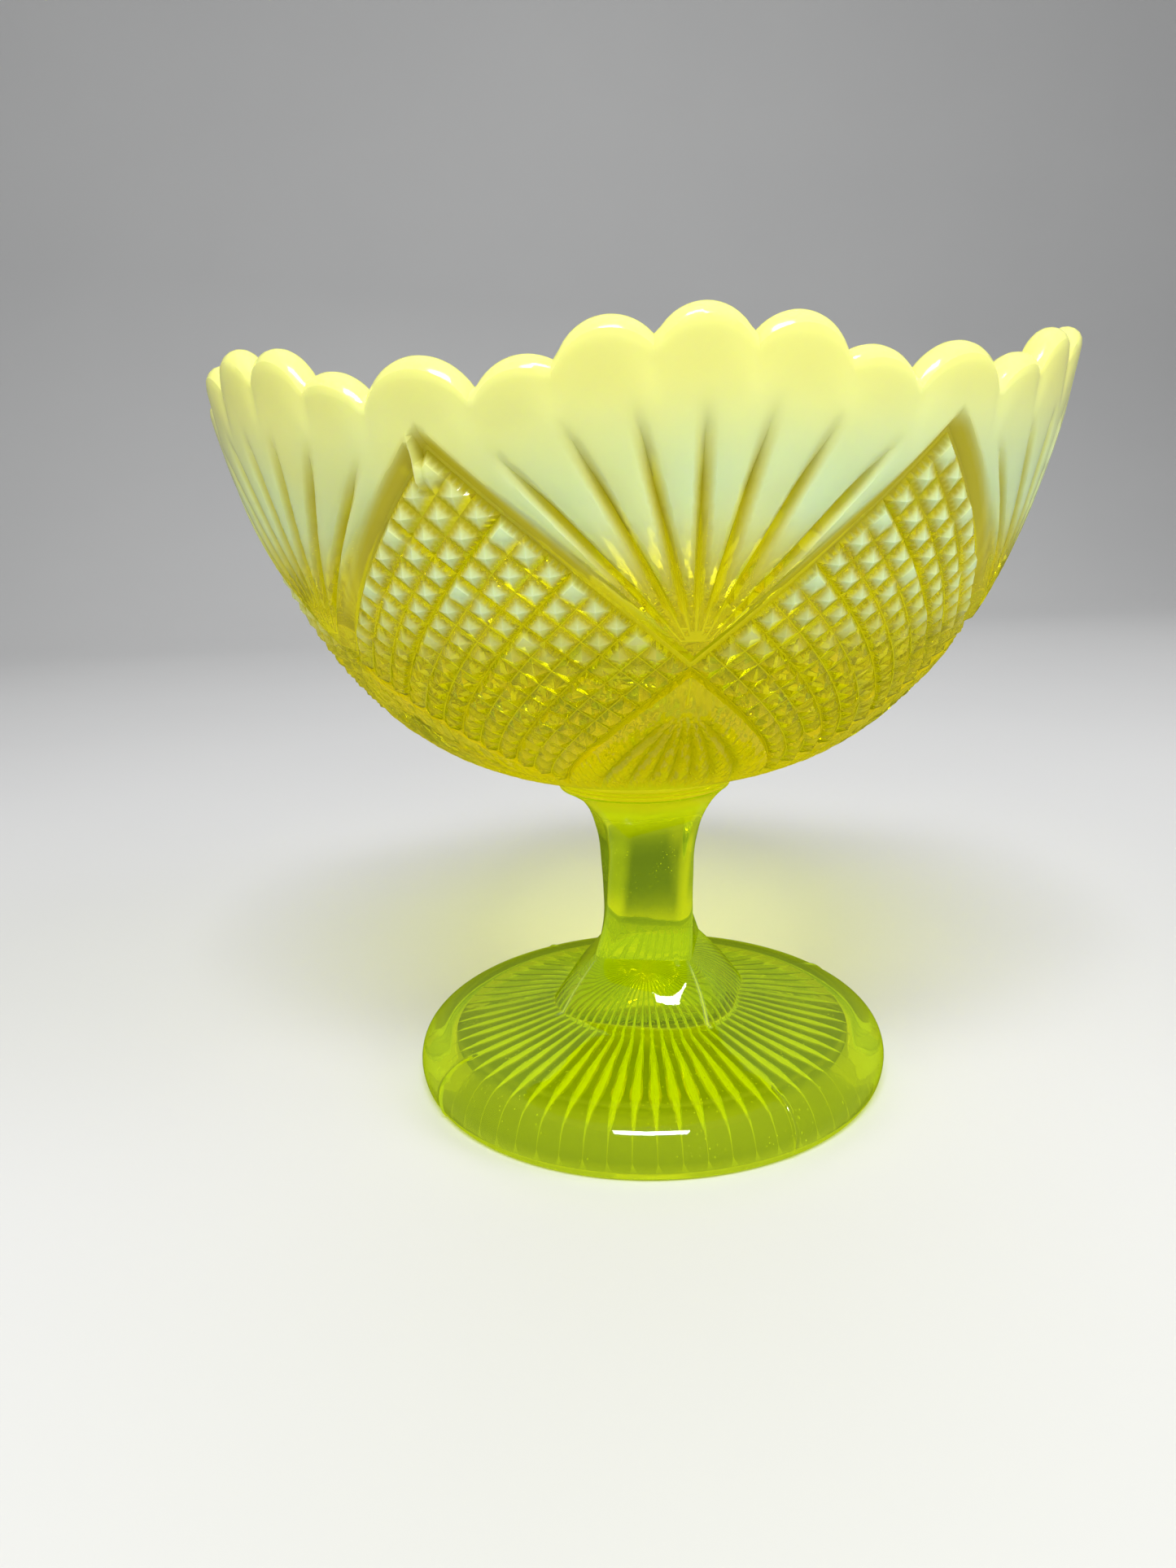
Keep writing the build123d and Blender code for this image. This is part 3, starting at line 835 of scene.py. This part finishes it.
def glass_material(name, clear_color, lit_color, glow_color, glow, sparkle):
    """Yellow uranium glass, clear or milky as the mesh's attributes say."""
    n = Nodes(name)
    position = n.add("ShaderNodeNewGeometry").outputs["Position"]
    height = n.add("ShaderNodeSeparateXYZ", {0: position}).outputs["Z"]
    opal_map, amber, bright, painted_glow, shade, joint = (
        n.add("ShaderNodeAttribute", attribute_name=key).outputs["Fac"] for key in LOOKS
    )

    # Milkiness, whose edges wander a little
    streaks = n.noise(position, STREAK_SCALE, 3.0)
    wander = n.math("MULTIPLY", n.math("SUBTRACT", streaks, 0.5), 1.2)
    soft_edge = n.math("MULTIPLY", opal_map, n.math("SUBTRACT", 1.0, opal_map))
    opal = n.math("ADD", opal_map, n.math("MULTIPLY", wander, soft_edge), clamp=True)

    rim = n.ramp(height, MILK_TURNS_CREAM[0] * MM, MILK_TURNS_CREAM[1] * MM)
    milk = n.mix_color(rim, PALE_OPAL, CREAM_OPAL)
    mottle = n.noise(position, MOTTLE_SCALE, 2.0)
    milk = n.mix_color(n.ramp(mottle, 0.35, 0.9), milk, CREAM_OPAL)
    milk = n.mix_color(n.math("MULTIPLY", amber, 0.95), milk, AMBER_OPAL)

    ripple = n.noise(position, RIPPLE_SCALE, 2.0)
    bump = n.add("ShaderNodeBump", {"Height": ripple, "Strength": 0.08, "Distance": 0.001})
    normal = bump.outputs["Normal"]
    grain = n.noise(position, GRAIN_SCALE, 2.0)
    smear = n.math("MULTIPLY", grain, 0.04)

    # Clear glass: reflections stay white face on and turn yellow-green at the edges
    facing = n.add("ShaderNodeLayerWeight", {"Blend": 0.5, "Normal": normal}).outputs["Facing"]
    sheen = n.mix_color(n.ramp(facing, 0.45, 0.85), (1, 1, 1, 1), EDGE_SHEEN)
    fresnel = n.add("ShaderNodeFresnel", {"IOR": GLASS_IOR, "Normal": normal}).outputs[0]
    # Painted shade: where the shade attribute is set, what shows through the clear glass is darker
    refract = n.add("ShaderNodeBsdfRefraction", {
        "Color": n.mix_color(shade, clear_color, PAINTED_SHADE_TINT),
        "Roughness": smear,
        "IOR": GLASS_IOR,
        "Normal": normal,
    })
    reflect = n.add("ShaderNodeBsdfGlossy", {"Color": sheen, "Roughness": smear, "Normal": normal})
    clear = n.mix_shader(fresnel, refract, reflect)

    milky = n.add("ShaderNodeBsdfPrincipled", {
        "Base Color": milk,
        "Roughness": n.math("ADD", smear, MILK_ROUGHNESS),
        "IOR": GLASS_IOR,
        "Subsurface Weight": 0.6,
        "Subsurface Radius": MILK_DEPTH,
        "Subsurface Scale": 1.0,
        "Normal": normal,
    })

    # Painted light: pressed lines, small glints and a soft glow, lit as frosted glass
    lit = n.add("ShaderNodeBsdfDiffuse", {"Color": lit_color, "Normal": normal})
    lit_through = n.add("ShaderNodeBsdfTranslucent", {"Color": lit_color, "Normal": normal})
    line = n.mix_shader(0.5, lit, lit_through)

    body = n.mix_shader(n.math("MULTIPLY", opal, 0.97), clear, milky)
    painted_light = n.math("MAXIMUM", n.math("MULTIPLY", n.ramp(bright, 0.35, 1.0), 0.85), painted_glow)
    # Painted glints: small lit spots in scattered patches of clear glass
    cells = n.add("ShaderNodeTexVoronoi", {"Vector": position, "Scale": PAINTED_GLINT_SCALE})
    cells = cells.outputs["Distance"]
    patches = n.ramp(n.noise(position, PATCH_SCALE, 2.0), 0.45, 0.62)
    painted_glints = n.math("MULTIPLY", n.ramp(cells, 0.17, 0.06), n.math("MULTIPLY", patches, sparkle))
    clearness = n.math("SUBTRACT", 1.0, opal)
    painted_light = n.math("MAXIMUM", painted_light, n.math("MULTIPLY", painted_glints, clearness))
    body = n.mix_shader(painted_light, body, line)

    # Shadows are tinted, and faces where two pieces meet let everything through
    tint = n.mix_color(shade, SHADOW_TINT, DARK_SHADOW)
    tint = n.mix_color(opal, tint, MILK_SHADOW)
    pass_light = n.add("ShaderNodeBsdfTransparent", {"Color": tint})
    shadow = n.add("ShaderNodeLightPath").outputs["Is Shadow Ray"]
    body = n.mix_shader(shadow, body, pass_light)
    through = n.add("ShaderNodeBsdfTransparent", {"Color": (1, 1, 1, 1)})
    surface = n.mix_shader(n.math("GREATER_THAN", joint, 0.999), body, through)
    n.link(surface, n.output.inputs["Surface"])

    # The volume absorbs as tinted glass does, and gives out a painted glow that stands in for its
    # fluorescence
    absorb = n.add("ShaderNodeVolumeAbsorption", {"Color": GLASS_TINT, "Density": GLASS_DENSITY})
    light = n.add("ShaderNodeEmission", {"Color": glow_color, "Strength": glow})
    volume = n.add("ShaderNodeAddShader", {0: absorb.outputs[0], 1: light.outputs[0]})
    n.link(volume, n.output.inputs["Volume"])
    return n.material


def floor_material():
    n = Nodes("pale_floor")
    position = n.add("ShaderNodeNewGeometry").outputs["Position"]
    cloud = n.noise(position, 3.0, 3.0)
    color = n.mix_color(cloud, *FLOOR_COLORS)
    plain = n.add("ShaderNodeBsdfPrincipled", {"Base Color": color, "Roughness": 0.7})
    n.link(plain, n.output.inputs["Surface"])
    return n.material


def make_floor():
    """Pale floor that curves up into a backdrop behind the dish. Lengths in metres."""
    width = 3.0
    near = -2.5
    bend_start = 0.9
    bend_radius = 0.6
    bend_steps = 16
    wall_top = 2.5
    profile = [(near, 0.0), (bend_start, 0.0)]
    for step in range(1, bend_steps + 1):
        turn = step / bend_steps * math.pi / 2
        y = bend_start + bend_radius * math.sin(turn)
        profile.append((y, bend_radius * (1 - math.cos(turn))))
    profile.append((bend_start + bend_radius, wall_top))
    points = []
    for y, z in profile:
        points += [(-width, y, z), (width, y, z)]
    faces = []
    for index in range(len(profile) - 1):
        faces.append((2 * index, 2 * index + 1, 2 * index + 3, 2 * index + 2))
    mesh = bpy.data.meshes.new("floor")
    mesh.from_pydata(points, [], faces)
    mesh.shade_smooth()
    floor = bpy.data.objects.new("floor", mesh)
    floor.location.z = cad_bounds[0][2]
    bpy.context.scene.collection.objects.link(floor)
    mesh.materials.append(floor_material())
    return floor


def add_softbox(name, azimuth, elevation, distance, size, power, reflected):
    """Rectangular light aimed at the dish."""
    light = bpy.data.lights.new(name, "AREA")
    light.shape = "RECTANGLE"
    light.size = size[0]
    light.size_y = size[1]
    light.energy = power
    turn = math.radians(azimuth)
    rise = math.radians(elevation)
    level = math.cos(rise)
    toward = Vector((math.sin(turn) * level, -math.cos(turn) * level, math.sin(rise)))
    obj = bpy.data.objects.new(name, light)
    obj.location = toward * distance + Vector((0, 0, DRAWING_HEIGHT / 2 * MM))
    obj.rotation_euler = toward.to_track_quat("Z", "Y").to_euler()
    obj.visible_glossy = reflected
    obj.visible_transmission = reflected
    bpy.context.scene.collection.objects.link(obj)


def add_camera():
    """The photograph's camera: a little above the rim, slightly left of a fan's middle."""
    turn = Matrix.Rotation(math.radians(CAMERA_AZIMUTH), 3, "Z")
    yaw = math.radians(CAMERA_YAW)
    pitch = math.radians(CAMERA_PITCH)
    roll = math.radians(CAMERA_ROLL)
    ahead = Vector((math.sin(yaw), math.cos(yaw), 0))
    side = Vector((math.cos(yaw), -math.sin(yaw), 0))
    forward = math.cos(pitch) * ahead - math.sin(pitch) * Vector((0, 0, 1))
    upright = math.sin(pitch) * ahead + math.cos(pitch) * Vector((0, 0, 1))
    right = math.cos(roll) * side - math.sin(roll) * upright
    up = math.sin(roll) * side + math.cos(roll) * upright
    basis = turn @ Matrix((right, up, -forward)).transposed()
    camera = bpy.data.cameras.new("camera")
    camera.lens = CAMERA_LENS
    camera.clip_start = 0.01
    obj = bpy.data.objects.new("camera", camera)
    place = turn @ Vector((0, -CAMERA_DISTANCE, CAMERA_HEIGHT)) * MM
    obj.matrix_world = Matrix.Translation(place) @ basis.to_4x4()
    bpy.context.scene.collection.objects.link(obj)
    bpy.context.scene.camera = obj


bowl = make_bowl()
wafer = make_wafer()
pedestal = make_pedestal()
for piece, node, slot, material, look in (
    (bowl, "bowl", "opalescent_glass", "opalescent_uranium_glass", BOWL_LOOK),
    (wafer, "wafer", "clear_uranium_glass", "collar_uranium_glass", BOWL_LOOK),
    (pedestal, "pedestal", "clear_uranium_glass", "clear_uranium_glass", FOOT_LOOK),
):
    piece.data.materials.append(glass_material(material, *look))
    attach(piece, "root")
    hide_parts(node)

floor = make_floor()
floor.visible_glossy = False     # the glass mirrors the world's even light instead
add_camera()
for softbox in SOFTBOXES:
    add_softbox(*softbox)
world = bpy.data.worlds.new("studio")
world.use_nodes = True
background = world.node_tree.nodes["Background"]
background.inputs["Color"].default_value = WORLD_COLOR
background.inputs["Strength"].default_value = WORLD_STRENGTH
bpy.context.scene.world = world
bpy.context.scene.view_settings.view_transform = "Standard"
